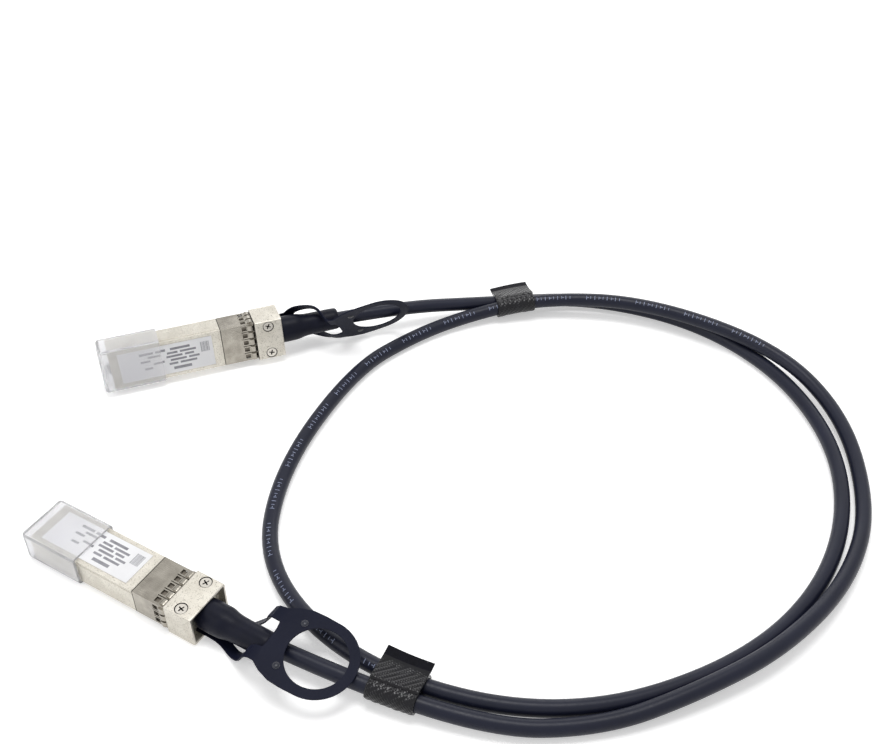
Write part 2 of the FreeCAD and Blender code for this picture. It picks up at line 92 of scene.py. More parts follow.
table_mesh = bpy.data.meshes.new("table_top")
table_bm = bmesh.new()
bmesh.ops.create_grid(table_bm, x_segments=8, y_segments=8, size=3.0)
table_bm.to_mesh(table_mesh)
table_bm.free()
table_top = bpy.data.objects.new("table_top", table_mesh)
bpy.context.collection.objects.link(table_top)
table_top.location = (0.06, 0.0, -0.0002)
paper = bpy.data.materials.new("white_paper")
paper.use_nodes = True
paper_tree = paper.node_tree
paper_shader = paper_tree.nodes["Principled BSDF"]
paper_shader.inputs["Base Color"].default_value = (0.9, 0.9, 0.9, 1)
paper_shader.inputs["Roughness"].default_value = 0.9
paper_shader.inputs["Emission Color"].default_value = (1, 1, 1, 1)
paper_glow = paper_tree.nodes.new("ShaderNodeMath")
paper_glow.operation = "MULTIPLY"
paper_glow.inputs[1].default_value = PAPER_GLOW
paper_tree.links.new(seen_directly(paper_tree), paper_glow.inputs[0])
paper_tree.links.new(paper_glow.outputs[0], paper_shader.inputs["Emission Strength"])
table_mesh.materials.append(paper)

VIEW_FROM = (0.0650, -0.23172, 0.25081)
VIEW_TILT = math.radians(41.217)
VIEW_ROLL = math.radians(0.897)

camera_data = bpy.data.cameras.new("viewpoint")
camera_data.lens = 45.75
camera_data.sensor_width = 36.0
camera_data.clip_start = 0.01
camera = bpy.data.objects.new("viewpoint", camera_data)
bpy.context.collection.objects.link(camera)
right = Vector((1, 0, 0))
up = Vector((0, math.sin(VIEW_TILT), math.cos(VIEW_TILT)))
ahead = Vector((0, math.cos(VIEW_TILT), -math.sin(VIEW_TILT)))
camera_x = right * math.cos(VIEW_ROLL) + up * math.sin(VIEW_ROLL)
camera_y = up * math.cos(VIEW_ROLL) - right * math.sin(VIEW_ROLL)
camera_turn = Matrix((camera_x, camera_y, -ahead)).transposed().to_4x4()
camera.matrix_world = Matrix.Translation(VIEW_FROM) @ camera_turn
bpy.context.scene.camera = camera
bpy.context.scene.view_settings.view_transform = "Standard"


# ---- The lead: twin shielded pairs under one extruded plastic jacket, 4.6 mm across and one
# metre long. It leaves one plug, makes two loops and comes back to the other plug. Pale ticks
# are printed along the jacket.

PLUG_PLACES = {
    "plug_a": ((8.5, 65.5, 8.4), 20.4, 80.4),
    "plug_b": ((3.7, -49.8, 5.18), -29.6, 0.0),
}
CABLE_AXIS = 0.3
CABLE_DIAMETER = 4.6
INK_THICKNESS = 0.012


def plug_frame(plug):
    """The plug's own axes in the row frame: +X towards the cable, +Z out of the label face."""
    place, yaw, roll_angle = PLUG_PLACES[plug]
    turn = Euler((math.radians(roll_angle), 0, math.radians(yaw)), "XYZ").to_matrix().to_4x4()
    return Matrix.Translation(Vector(place) * MM) @ turn


def lead_route():
    points = [plug_frame("plug_a") @ Vector((x * MM, 0, CABLE_AXIS * MM)) for x in (-1.0, 37.0)]
    points += [Vector(p) * MM for p in (
        (81.0, 88.1, 3.8), (116.5, 93.6, 2.3), (154.0, 79.6, 2.3), (179.0, 50.1, 2.3),
        (187.0, 10.6, 2.3), (174.0, -29.9, 2.3), (144.0, -60.4, 2.3), (95.5, -77.9, 2.3),
        (46.0, -66.4, 3.7), (15.0, -33.4, 2.3), (15.0, 6.1, 2.3), (34.0, 52.1, 2.3),
        (54.0, 71.1, 2.3), (73.0, 81.6, 3.2), (97.5, 87.6, 6.4), (134.5, 84.6, 7.8),
        (175.0, 61.6, 7.2), (191.5, 32.6, 3.4), (189.5, -6.4, 2.3), (175.5, -34.9, 3.8),
        (152.5, -57.9, 6.0), (128.0, -70.9, 4.8), (104.5, -79.4, 2.6), (75.5, -80.9, 3.3),
    )]
    points += [plug_frame("plug_b") @ Vector((x * MM, 0, CABLE_AXIS * MM)) for x in (26.0, -1.0)]
    return points


route = lead_route()
lead_curve = bpy.data.curves.new("lead", "CURVE")
lead_curve.dimensions = "3D"
lead_line = lead_curve.splines.new("NURBS")
lead_line.points.add(len(route) - 1)
for control, spot in zip(lead_line.points, route):
    control.co = (*spot, 1.0)
lead_line.order_u = 3
lead_line.use_endpoint_u = True
lead_curve.resolution_u = 24
lead = bpy.data.objects.new("lead", lead_curve)
bpy.context.collection.objects.link(lead)
bpy.context.view_layer.update()
line_mesh = bpy.data.meshes.new_from_object(lead)
lead_points = [v.co.copy() for v in line_mesh.vertices]
bpy.data.meshes.remove(line_mesh)
lead_curve.bevel_depth = CABLE_DIAMETER / 2 * MM
lead_curve.bevel_resolution = 8
lead_curve.resolution_u = 14


def material(name):
    """A new node material, with its tree and its main shader."""
    made = bpy.data.materials.new(name)
    made.use_nodes = True
    return made, made.node_tree, made.node_tree.nodes["Principled BSDF"]


def srgb(r, g, b):
    """Linear colour from the usual 0 to 255 values."""
    def linear(v):
        v /= 255
        return v / 12.92 if v <= 0.04045 else ((v + 0.055) / 1.055) ** 2.4
    return (linear(r), linear(g), linear(b), 1)


def fine_noise(tree, scale, detail=4.0, roughness=0.6):
    place = tree.nodes.new("ShaderNodeTexCoord")
    noise = tree.nodes.new("ShaderNodeTexNoise")
    noise.inputs["Scale"].default_value = scale
    noise.inputs["Detail"].default_value = detail
    noise.inputs["Roughness"].default_value = roughness
    tree.links.new(place.outputs["Object"], noise.inputs["Vector"])
    return noise


def ramp(tree, source, low, high, low_at=0.3, high_at=0.7):
    """A colour or a grey that follows a noise between two values."""
    mix = tree.nodes.new("ShaderNodeValToRGB")
    mix.color_ramp.elements[0].position = low_at
    mix.color_ramp.elements[1].position = high_at
    mix.color_ramp.elements[0].color = low if len(low) == 4 else (*low, 1)
    mix.color_ramp.elements[1].color = high if len(high) == 4 else (*high, 1)
    tree.links.new(source, mix.inputs["Fac"])
    return mix


def bump(tree, shader, source, distance_mm, strength=1.0):
    node = tree.nodes.new("ShaderNodeBump")
    node.inputs["Distance"].default_value = distance_mm * MM
    node.inputs["Strength"].default_value = strength
    tree.links.new(source, node.inputs["Height"])
    tree.links.new(node.outputs["Normal"], shader.inputs["Normal"])


def finish_material(name, dark, light, gloss, grain, grain_mm, metal=0.0, blotch=60, gleam=0.5):
    """A finish with a slow change of colour, and a fine grain between two gloss levels."""
    rough_low, rough_high = gloss
    made, tree, shader = material(name)
    broad = fine_noise(tree, blotch)
    tint = ramp(tree, broad.outputs["Fac"], dark, light)
    tree.links.new(tint.outputs["Color"], shader.inputs["Base Color"])
    fine = fine_noise(tree, grain)
    rough = ramp(tree, fine.outputs["Fac"], (rough_low,) * 3, (rough_high,) * 3)
    tree.links.new(rough.outputs["Color"], shader.inputs["Roughness"])
    shader.inputs["Metallic"].default_value = metal
    shader.inputs["Specular IOR Level"].default_value = gleam
    bump(tree, shader, fine.outputs["Fac"], grain_mm)
    return made


jacket = finish_material(
    "lead_jacket", srgb(20, 23, 38), srgb(27, 30, 47), (0.32, 0.44), 900, 0.02, gleam=0.24,
)
lead_curve.materials.append(jacket)
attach(lead, "assembly")
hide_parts("cable")


def lead_axes(index):
    """Along the lead at one of its points, sideways, and up square to both."""
    along = (lead_points[index + 1] - lead_points[index - 1]).normalized()
    sideways = along.cross(Vector((0, 0, 1))).normalized()
    return along, sideways, sideways.cross(along)


def tick_patch(bm, index, start, width, height, lean):
    """One printed tick: a thin patch of ink that wraps round the jacket for a part of its girth."""
    along, sideways, upward = lead_axes(index)
    radius = (CABLE_DIAMETER / 2 + INK_THICKNESS) * MM
    rows = []
    for step in range(5):
        angle = lean + (step / 4 - 0.5) * height / (CABLE_DIAMETER / 2)
        out = sideways * math.sin(angle) + upward * math.cos(angle)
        spot = lead_points[index] + out * radius
        rows.append([bm.verts.new(spot + along * (start + s * width) * MM) for s in (0, 1)])
    for low, high in zip(rows, rows[1:]):
        bm.faces.new((low[0], low[1], high[1], high[0]))


def nearest_point(x, y, low, high):
    """The index of the lead's point nearest to a place on the table, between two indices."""
    spot = Vector((x, y)) * MM
    return min(range(low, high), key=lambda i: (lead_points[i].xy - spot).length)


PRINT_START = (50.0, -67.0)
PRINT_STOP = (176.0, 60.0)
MARK_PITCH = 1.45
MARKS_IN_GROUP = 12
MARK_HEIGHTS = (1.35, 0.95, 1.35, 0.95, 0.95, 1.35, 0.95, 1.35, 0.95)
MARK_WIDTH = 0.24
BAR_EVERY = 3
BAR_LENGTH = 0.62
BAR_GAP = 0.3
PRINT_LEAN = 0.55
PRINT_TWIST = 1.6

half_way = len(lead_points) // 2
print_from = nearest_point(*PRINT_START, len(lead_points) // 4, half_way + half_way // 4)
print_to = nearest_point(*PRINT_STOP, half_way, len(lead_points) - 1)
print_mesh = bpy.data.meshes.new("lead_print")
print_bm = bmesh.new()
travelled = 0.0
due = 0.0
mark = 0
for index in range(print_from, print_to):
    travelled += (lead_points[index] - lead_points[index - 1]).length / MM
    while due < travelled:
        side_y = lead_axes(index)[1].y
        lean = -math.copysign(PRINT_LEAN * min(1.0, abs(side_y) * PRINT_TWIST), side_y)
        place_in_group = mark % MARKS_IN_GROUP
        if place_in_group < len(MARK_HEIGHTS):
            start = due - travelled
            tick_patch(print_bm, index, start, MARK_WIDTH, MARK_HEIGHTS[place_in_group], lean)
            if place_in_group % BAR_EVERY == 0:
                tick_patch(print_bm, index, start + BAR_GAP, BAR_LENGTH, MARK_WIDTH, lean)
        mark += 1
        due += MARK_PITCH
bmesh.ops.recalc_face_normals(print_bm, faces=print_bm.faces)
print_bm.to_mesh(print_mesh)
print_bm.free()
lead_print = bpy.data.objects.new("lead_print", print_mesh)
bpy.context.collection.objects.link(lead_print)
pale_ink = finish_material(
    "pale_ink", srgb(96, 103, 128), srgb(142, 150, 176), (0.45, 0.6), 2500, 0.01, blotch=1400,
)
print_mesh.materials.append(pale_ink)
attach(lead_print, "assembly")


# ---- The paddle board in each module: green laminate with gold contacts on a tongue, a few
# moulded chips, and the lead's four conductors soldered to its rear edge.

SAME_SPOT = 0.002


def part_copy(plug, piece, ease, finish, body="assembly",
              smooth_angle=35, flat_angle=0.6, axes=None):
    """A cleaned copy of a plug's part with its edges eased, in the plug's axes or in those given."""
    node = "%s_%s" % (plug, piece)
    axes = axes or plug_frame(plug)
    bm = bmesh.new()
    bm.from_mesh(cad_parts[node].data)
    bmesh.ops.transform(bm, matrix=axes.inverted(), verts=bm.verts)
    bmesh.ops.remove_doubles(bm, verts=bm.verts, dist=SAME_SPOT * MM)
    if flat_angle:
        flat = math.radians(flat_angle)
        bmesh.ops.dissolve_limit(bm, angle_limit=flat, verts=bm.verts, edges=bm.edges)
    for face in bm.faces:
        face.smooth = True
    for edge in bm.edges:
        edge.smooth = len(edge.link_faces) == 2 and edge.calc_face_angle() < math.radians(smooth_angle)
    mesh = bpy.data.meshes.new(node + "_finished")
    bm.to_mesh(mesh)
    bm.free()
    made = bpy.data.objects.new(node + "_finished", mesh)
    bpy.context.collection.objects.link(made)
    made.matrix_world = axes
    mesh.materials.append(finish)
    if ease:
        edges = made.modifiers.new("eased_edges", "BEVEL")
        edges.width = ease * MM
        edges.segments = 2
        edges.limit_method = "ANGLE"
        edges.angle_limit = math.radians(smooth_angle)
        edges.use_clamp_overlap = False
        edges.harden_normals = True
    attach(made, body)
    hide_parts(node)
    return made


laminate = finish_material("green_laminate", srgb(18, 74, 44), srgb(28, 96, 60), (0.25, 0.4), 700, 0.01)
gold = finish_material(
    "gold_plate", srgb(214, 172, 84), srgb(232, 196, 108), (0.2, 0.32), 1500, 0.004, metal=1.0,
)
chip_resin = finish_material("chip_resin", srgb(24, 24, 26), srgb(36, 36, 38), (0.5, 0.65), 2200, 0.01)
conductor = finish_material(
    "conductor_skin", srgb(196, 196, 206), srgb(214, 214, 222), (0.35, 0.5), 900, 0.01,
)
for plug in PLUG_PLACES:
    part_copy(plug, "circuit_board", 0.03, laminate)
    part_copy(plug, "contact_pads", 0, gold)
    part_copy(plug, "board_chips", 0.04, chip_resin)
    part_copy(plug, "inner_wires", 0, conductor)


# ---- The ferrule: a turned metal barrel with a flange, crimped on the braid and trapped in the
# rear block, so that a pull on the lead is carried by the shell.

crimped_metal = finish_material(
    "crimped_metal", srgb(176, 172, 164), srgb(202, 198, 190), (0.3, 0.45), 1300, 0.02, metal=1.0,
)
for plug in PLUG_PLACES:
    part_copy(plug, "crimp_ferrule", 0.05, crimped_metal)


# ---- The shell: two nickel-plated zinc die castings that close on each other along a parting
# line, with a thicker rear block. The casting skin is finely pitted, and shade is painted into
# the gaps round the shielding collar, into the bed under its fingers and round the screw heads.

# Painted shade on the casting, in bands of the plug's own x: a dark line in the collar's gap, a mid
# grey in the bed under the fingers, and a dark line in the gap before the block.
COLLAR_GAP = (-20.16, 0.13)
FINGER_BED = (-11.5, 1.9)
BLOCK_GAP = (-9.26, 0.32)
# Painted shade: a dark ring on the casting round each screw head, where the head sits in its recess.
SCREW_SPOTS = ((-4.6, -4.95), (-4.6, 4.95))
SCREW_RECESS = (1.71, 0.13)
COLLAR_GAP_PAINTED_SHADE = srgb(46, 42, 38)
BED_SHADE = srgb(112, 106, 97)
BLOCK_GAP_PAINTED_SHADE = srgb(40, 36, 32)
SCREW_RING_PAINTED_SHADE = srgb(34, 31, 28)


def band_mask(tree, centre_mm, half_mm):
    """1 where the plug's own x lies in a band, given by its middle and half its width, else 0."""
    place = tree.nodes.new("ShaderNodeTexCoord")
    parts = tree.nodes.new("ShaderNodeSeparateXYZ")
    inside = tree.nodes.new("ShaderNodeMath")
    inside.operation = "COMPARE"
    inside.inputs[1].default_value = centre_mm * MM
    inside.inputs[2].default_value = half_mm * MM
    tree.links.new(place.outputs["Object"], parts.inputs[0])
    tree.links.new(parts.outputs["X"], inside.inputs[0])
    return inside


def ring_mask(tree, spot, radius_mm, half_mm):
    """1 in a ring round an upright axis of the plug, given as a band is, else 0."""
    place = tree.nodes.new("ShaderNodeTexCoord")
    flat = tree.nodes.new("ShaderNodeVectorMath")
    flat.operation = "MULTIPLY"
    flat.inputs[1].default_value = (1, 1, 0)
    away = tree.nodes.new("ShaderNodeVectorMath")
    away.operation = "DISTANCE"
    away.inputs[1].default_value = (spot[0] * MM, spot[1] * MM, 0)
    inside = tree.nodes.new("ShaderNodeMath")
    inside.operation = "COMPARE"
    inside.inputs[1].default_value = radius_mm * MM
    inside.inputs[2].default_value = half_mm * MM
    tree.links.new(place.outputs["Object"], flat.inputs[0])
    tree.links.new(flat.outputs[0], away.inputs[0])
    tree.links.new(away.outputs["Value"], inside.inputs[0])
    return inside


def tinted(tree, factor, under, colour):
    """A colour laid over another one where a factor is 1."""
    mix = tree.nodes.new("ShaderNodeMix")
    mix.data_type = "RGBA"
    mix.inputs[7].default_value = colour
    tree.links.new(factor, mix.inputs[0])
    tree.links.new(under, mix.inputs[6])
    return mix.outputs[2]


def casting_finish():
    made, tree, shader = material("plated_casting")
    broad = fine_noise(tree, 160)
    skin = ramp(tree, broad.outputs["Fac"], srgb(194, 189, 178), srgb(218, 214, 204))
    pits = fine_noise(tree, 3600, detail=2.0, roughness=0.5)
    pit_depth = ramp(tree, pits.outputs["Fac"], (0, 0, 0), (1, 1, 1), 0.30, 0.42)
    pitted = tree.nodes.new("ShaderNodeMix")
    pitted.data_type = "RGBA"
    pitted.inputs[6].default_value = srgb(132, 126, 114)
    tree.links.new(pit_depth.outputs["Color"], pitted.inputs[0])
    tree.links.new(skin.outputs["Color"], pitted.inputs[7])
    pits_and_painted_shade = pitted.outputs[2]
    # Painted shade: the collar gap, the finger bed and the block gap are darkened over the pitted skin.
    for band, colour in ((COLLAR_GAP, COLLAR_GAP_PAINTED_SHADE), (FINGER_BED, BED_SHADE), (BLOCK_GAP, BLOCK_GAP_PAINTED_SHADE)):
        pits_and_painted_shade = tinted(tree, band_mask(tree, *band).outputs[0], pits_and_painted_shade, colour)
    # Painted shade: a dark ring round each screw head.
    for screw_spot in SCREW_SPOTS:
        recess = ring_mask(tree, screw_spot, *SCREW_RECESS)
        pits_and_painted_shade = tinted(tree, recess.outputs[0], pits_and_painted_shade, SCREW_RING_PAINTED_SHADE)
    tree.links.new(pits_and_painted_shade, shader.inputs["Base Color"])
    shader.inputs["Metallic"].default_value = 0.85
    fine = fine_noise(tree, 1800, detail=6.0)
    rough = ramp(tree, fine.outputs["Fac"], (0.34,) * 3, (0.52,) * 3)
    tree.links.new(rough.outputs["Color"], shader.inputs["Roughness"])
    depth = tree.nodes.new("ShaderNodeMath")
    depth.operation = "ADD"
    tree.links.new(pit_depth.outputs["Color"], depth.inputs[0])
    tree.links.new(fine.outputs["Fac"], depth.inputs[1])
    bump(tree, shader, depth.outputs[0], 0.02, 0.7)
    return made


casting = casting_finish()
for plug in PLUG_PLACES:
    part_copy(plug, "housing_base", 0.09, casting)
    part_copy(plug, "housing_cover", 0.09, casting)


# ---- The screws and the latch cover: two small cross-recess steel screws hold the shells
# together, with shade painted down in the cross, and a stamped steel plate closes the block below.

SCREW_HEAD_TOP = 5.32
UNSHADED_DEPTH = 0.11
CROSS_PAINTED_SHADE = srgb(30, 28, 26)


def screw_finish():
    made = finish_material(
        "plated_steel", srgb(196, 191, 182), srgb(218, 214, 206), (0.26, 0.38), 2600, 0.008, metal=1.0,
    )
    tree = made.node_tree
    shader = tree.nodes["Principled BSDF"]
    steel = shader.inputs["Base Color"].links[0].from_socket
    # Painted shade: all of the screw below a thin skin under the head's top is darkened, so the cross
    # looks shaded.
    place = tree.nodes.new("ShaderNodeTexCoord")
    parts = tree.nodes.new("ShaderNodeSeparateXYZ")
    sunk = tree.nodes.new("ShaderNodeMath")
    sunk.operation = "LESS_THAN"
    sunk.inputs[1].default_value = (SCREW_HEAD_TOP - UNSHADED_DEPTH) * MM
    tree.links.new(place.outputs["Object"], parts.inputs[0])
    tree.links.new(parts.outputs["Z"], sunk.inputs[0])
    tree.links.new(tinted(tree, sunk.outputs[0], steel, CROSS_PAINTED_SHADE), shader.inputs["Base Color"])
    return made


plated_steel = screw_finish()
cover_steel = finish_material(
    "cover_steel", srgb(196, 192, 184), srgb(222, 218, 210), (0.3, 0.42), 1600, 0.01, metal=1.0,
)
for plug in PLUG_PLACES:
    part_copy(plug, "screws", 0.07, plated_steel)
    part_copy(plug, "latch_cover", 0.06, cover_steel)


# ---- The shielding collar: one strip of bright spring steel folded round the shell, slotted
# into fingers that bow outwards and touch the cage all round.

def spring_finish():
    made, tree, shader = material("spring_sheet")
    broad = fine_noise(tree, 220)
    skin = ramp(tree, broad.outputs["Fac"], srgb(140, 135, 126), srgb(172, 167, 157))
    tree.links.new(skin.outputs["Color"], shader.inputs["Base Color"])
    shader.inputs["Metallic"].default_value = 1.0
    place = tree.nodes.new("ShaderNodeTexCoord")
    drawn = tree.nodes.new("ShaderNodeMapping")
    drawn.inputs["Scale"].default_value = (400, 9000, 9000)
    lines = tree.nodes.new("ShaderNodeTexNoise")
    lines.inputs["Scale"].default_value = 1.0
    tree.links.new(place.outputs["Object"], drawn.inputs["Vector"])
    tree.links.new(drawn.outputs["Vector"], lines.inputs["Vector"])
    rough = ramp(tree, lines.outputs["Fac"], (0.16,) * 3, (0.30,) * 3)
    tree.links.new(rough.outputs["Color"], shader.inputs["Roughness"])
    bump(tree, shader, lines.outputs["Fac"], 0.006)
    return made


spring_sheet = spring_finish()
for plug in PLUG_PLACES:
    part_copy(plug, "emi_collar", 0.03, spring_sheet, flat_angle=0)


# ---- The label: a white printed film in a shallow seat on the cover. Its print is plain grey
# bars, with a block of upright bars at the end nearer the collar.

LABEL_TOP = 4.22
UPRIGHT_FROM = -27.2
UPRIGHT_PITCH = 0.32
UPRIGHT_WIDTHS = (0.2, 0.12, 0.16)
UPRIGHT_COUNT = 9
UPRIGHT_Y = (0.2, 3.9)
BAR_ROWS = [
    (3.55, 0.85, [(-47.0, -42.5), (-41.8, -38.6), (-37.0, -30.6)]),
    (2.15, 0.75, [(-44.5, -40.4), (-38.2, -34.8), (-34.0, -28.8)]),
    (0.85, 0.75, [(-47.0, -43.8), (-38.6, -33.4), (-32.6, -29.6)]),
    (-0.50, 0.75, [(-43.0, -39.4), (-37.4, -32.2), (-31.4, -28.0)]),
    (-1.85, 0.75, [(-46.0, -43.4), (-38.0, -35.2), (-34.4, -29.0)]),
    (-3.65, 1.0, [(-36.8, -31.0)]),
]
film = finish_material(
    "label_film", srgb(234, 234, 236), srgb(246, 246, 248), (0.42, 0.58), 1800, 0.006,
)
grey_ink = finish_material(
    "grey_ink", srgb(128, 128, 134), srgb(158, 158, 164), (0.5, 0.65), 1500, 0.004, blotch=500,
)


def ink_bar(bm, x0, x1, y0, y1, z):
    corners = [(x0, y0), (x1, y0), (x1, y1), (x0, y1)]
    low = [bm.verts.new(Vector((x, y, z)) * MM) for x, y in corners]
    high = [bm.verts.new(Vector((x, y, z + INK_THICKNESS)) * MM) for x, y in corners]
    bm.faces.new(high)
    bm.faces.new(low[::-1])
    for k in range(4):
        n = (k + 1) % 4
        bm.faces.new((low[k], low[n], high[n], high[k]))


for plug in PLUG_PLACES:
    part_copy(plug, "label", 0.02, film)
    bars_bm = bmesh.new()
    for y, tall, runs in BAR_ROWS:
        for x0, x1 in runs:
            ink_bar(bars_bm, x0, x1, y - tall / 2, y + tall / 2, LABEL_TOP)
    for i in range(UPRIGHT_COUNT):
        x0 = UPRIGHT_FROM + UPRIGHT_PITCH * i
        width = UPRIGHT_WIDTHS[i % len(UPRIGHT_WIDTHS)]
        ink_bar(bars_bm, x0, x0 + width, *UPRIGHT_Y, LABEL_TOP)
    bars_mesh = bpy.data.meshes.new(plug + "_label_bars")
    bars_bm.to_mesh(bars_mesh)
    bars_bm.free()
    bars_mesh.materials.append(grey_ink)
    bars = bpy.data.objects.new(plug + "_label_bars", bars_mesh)
    bpy.context.collection.objects.link(bars)
    bars.matrix_world = plug_frame(plug)
    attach(bars, "assembly")


# ---- The sleeve: adhesive-lined tubing shrunk over the ferrule's barrel and the lead, so that
# it is wide at the block, steps down over the barrel's end and grips the jacket.

SLEEVE_SIDES = 56
SLEEVE_RIPPLE = 0.035
SLEEVE_BORE = 3.63
SLEEVE_OUTLINE = [
    (-2.15, 4.25), (-1.2, 4.38), (0.0, 4.44), (1.6, 4.45), (3.2, 4.42), (4.6, 4.40), (5.5, 4.34),
    (6.3, 4.18), (7.1, 3.98), (8.0, 3.82), (9.2, 3.72), (11.0, 3.67), (13.5, 3.65), (16.0, 3.66),
    (18.2, 3.64), (19.2, 3.58), (19.75, 3.40), (19.95, 3.05), (19.95, 2.45), (18.0, 2.42),
    (5.1, 2.45), (5.1, SLEEVE_BORE), (-2.15, SLEEVE_BORE),
]


def turned_mesh(bm, outline, axis_z, sides, ripple):
    """A closed outline of (x, radius) turned round the plug's cable axis, with a soft ripple."""
    rings = []
    for x, radius in outline:
        ring = []
        for k in range(sides):
            angle = 2 * math.pi * k / sides
            wave = ripple * math.sin(3 * angle + 0.6 * x) * math.sin(0.9 * x)
            size = radius + (wave if radius > SLEEVE_BORE else 0)
            spot = Vector((x, size * math.cos(angle), axis_z + size * math.sin(angle)))
            ring.append(bm.verts.new(spot * MM))
        rings.append(ring)
    for near, far in zip(rings, rings[1:] + rings[:1]):
        for k in range(sides):
            n = (k + 1) % sides
            bm.faces.new((near[k], near[n], far[n], far[k]))
    bmesh.ops.recalc_face_normals(bm, faces=bm.faces)


shrunk_tube = finish_material(
    "shrunk_tube", srgb(13, 15, 27), srgb(22, 24, 38), (0.34, 0.50), 600, 0.02, blotch=140, gleam=0.12,
)
for plug in PLUG_PLACES:
    sleeve_bm = bmesh.new()
    turned_mesh(sleeve_bm, SLEEVE_OUTLINE, CABLE_AXIS, SLEEVE_SIDES, SLEEVE_RIPPLE)
    for face in sleeve_bm.faces:
        face.smooth = True
    sleeve_mesh = bpy.data.meshes.new(plug + "_sleeve")
    sleeve_bm.to_mesh(sleeve_mesh)
    sleeve_bm.free()
    sleeve_mesh.materials.append(shrunk_tube)
    sleeve = bpy.data.objects.new(plug + "_sleeve", sleeve_mesh)
    bpy.context.collection.objects.link(sleeve)
    sleeve.matrix_world = plug_frame(plug)
    smooth = sleeve.modifiers.new("soft_form", "SUBSURF")
    smooth.levels = smooth.render_levels = 1
    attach(sleeve, "assembly")
    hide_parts(plug + "_heat_shrink")


# ---- The release: a flat steel slide under the shell that lifts the latch, hooked to a die-cut
# strap of tough black sheet. The strap's two arms pass each side of the sleeve to a ring plate.

slide_steel = finish_material(
    "slide_steel", srgb(180, 176, 170), srgb(206, 202, 196), (0.25, 0.4), 1500, 0.01, metal=1.0,
)
tab_sheet = finish_material(
    "tab_sheet", srgb(17, 20, 36), srgb(25, 28, 45), (0.38, 0.50), 2400, 0.006, gleam=0.07,
)
for plug in PLUG_PLACES:
    part_copy(plug, "release_slide", 0.03, slide_steel, plug + "_release")
    part_copy(
        plug, "pull_tab", 0.06, tab_sheet, plug + "_release",
        smooth_angle=32, flat_angle=0.2, axes=Matrix.Identity(4),
    )


# ---- The rivets: pressed plastic rivets through the ring plate. Each has a low domed head with
# a flat ring round it, and a smaller head underneath.

TAB_PLACES = {
    "plug_a": ((31.9, 1.95, 7.95), (15.6, -13.1, 34.6)),
    "plug_b": ((33.4, 1.4, 3.5), (2.8, 6.3, 6.4)),
}
RIVET_SPOTS = ((-7.7, -6.64), (-7.7, 6.64))
RIVET_OUTLINE = [
    (0.0, -0.45), (0.55, -0.45), (0.88, -0.42), (0.98, -0.33), (1.0, -0.21), (0.68, -0.2), (0.68, 0.2),
    (1.0, 0.21), (1.0, 0.27), (0.96, 0.31), (0.84, 0.32), (0.78, 0.28), (0.72, 0.28), (0.66, 0.36),
    (0.5, 0.44), (0.28, 0.48), (0.0, 0.49),
]
# The same rivets in two copies of one material: plug B's copy is lighter, as painted light, and plug
# A's is the plain dark one.
rivet_lit_and_plain_copies = {
    "plug_a": finish_material(
        "rivet_black", srgb(20, 22, 29), srgb(32, 34, 42), (0.26, 0.4), 1800, 0.006,
    ),
    "plug_b": finish_material(
        "rivet_painted_lighter", srgb(24, 27, 38), srgb(40, 43, 55), (0.24, 0.36), 1800, 0.006, gleam=0.3,
    ),
}


def tab_frame(plug):
    """The ring plate's own axes in the row frame, with its origin in the middle of the ring."""
    place, (yaw, pitch, roll_angle) = TAB_PLACES[plug]
    turn = Euler([math.radians(a) for a in (roll_angle, pitch, yaw)], "XYZ").to_matrix().to_4x4()
    return plug_frame(plug) @ Matrix.Translation(Vector(place) * MM) @ turn


def rivet_mesh(bm, x, y, sides=28):
    rings = []
    for radius, z in RIVET_OUTLINE:
        if radius == 0:
            rings.append([bm.verts.new(Vector((x, y, z)) * MM)])
            continue
        ring = []
        for k in range(sides):
            angle = 2 * math.pi * k / sides
            spot = Vector((x + radius * math.cos(angle), y + radius * math.sin(angle), z))
            ring.append(bm.verts.new(spot * MM))
        rings.append(ring)
    for near, far in zip(rings, rings[1:]):
        for k in range(sides):
            n = (k + 1) % sides
            corners = [near[k % len(near)], near[n % len(near)], far[n % len(far)], far[k % len(far)]]
            bm.faces.new(list(dict.fromkeys(corners)))


for plug in PLUG_PLACES:
    rivet_bm = bmesh.new()
    for x, y in RIVET_SPOTS:
        rivet_mesh(rivet_bm, x, y)
    bmesh.ops.recalc_face_normals(rivet_bm, faces=rivet_bm.faces)
    for face in rivet_bm.faces:
        face.smooth = True
    rivets_mesh = bpy.data.meshes.new(plug + "_rivets")
    rivet_bm.to_mesh(rivets_mesh)
    rivet_bm.free()
    rivets_mesh.materials.append(rivet_lit_and_plain_copies[plug])
    rivets = bpy.data.objects.new(plug + "_rivets", rivets_mesh)
    bpy.context.collection.objects.link(rivets)
    rivets.matrix_world = tab_frame(plug)
    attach(rivets, plug + "_release")
    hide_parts(plug + "_tab_rivets")


# ---- The dust cap: a see-through moulding in slightly milky soft plastic that pushes over the
# module's nose. Its closed end is thicker, and all its outer edges are rounded.

def milky_finish():
    made, tree, shader = material("milky_plastic")
    broad = fine_noise(tree, 90)
    tint = ramp(tree, broad.outputs["Fac"], srgb(250, 250, 253), srgb(255, 255, 255))
    tree.links.new(tint.outputs["Color"], shader.inputs["Base Color"])
    fine = fine_noise(tree, 500)
    rough = ramp(tree, fine.outputs["Fac"], (0.10,) * 3, (0.20,) * 3)
    tree.links.new(rough.outputs["Color"], shader.inputs["Roughness"])
    shader.inputs["Transmission Weight"].default_value = 0.78
    shader.inputs["IOR"].default_value = 1.36
    bump(tree, shader, fine.outputs["Fac"], 0.02)
    return made


milky = milky_finish()
for plug in PLUG_PLACES:
    part_copy(plug, "dust_cap", 0.12, milky, plug + "_cap", smooth_angle=30)


# ---- The ties: short lengths of woven hook-and-loop strap, wrapped once round the two strands
# of the bundle and pressed shut, with the free end standing past the far side.

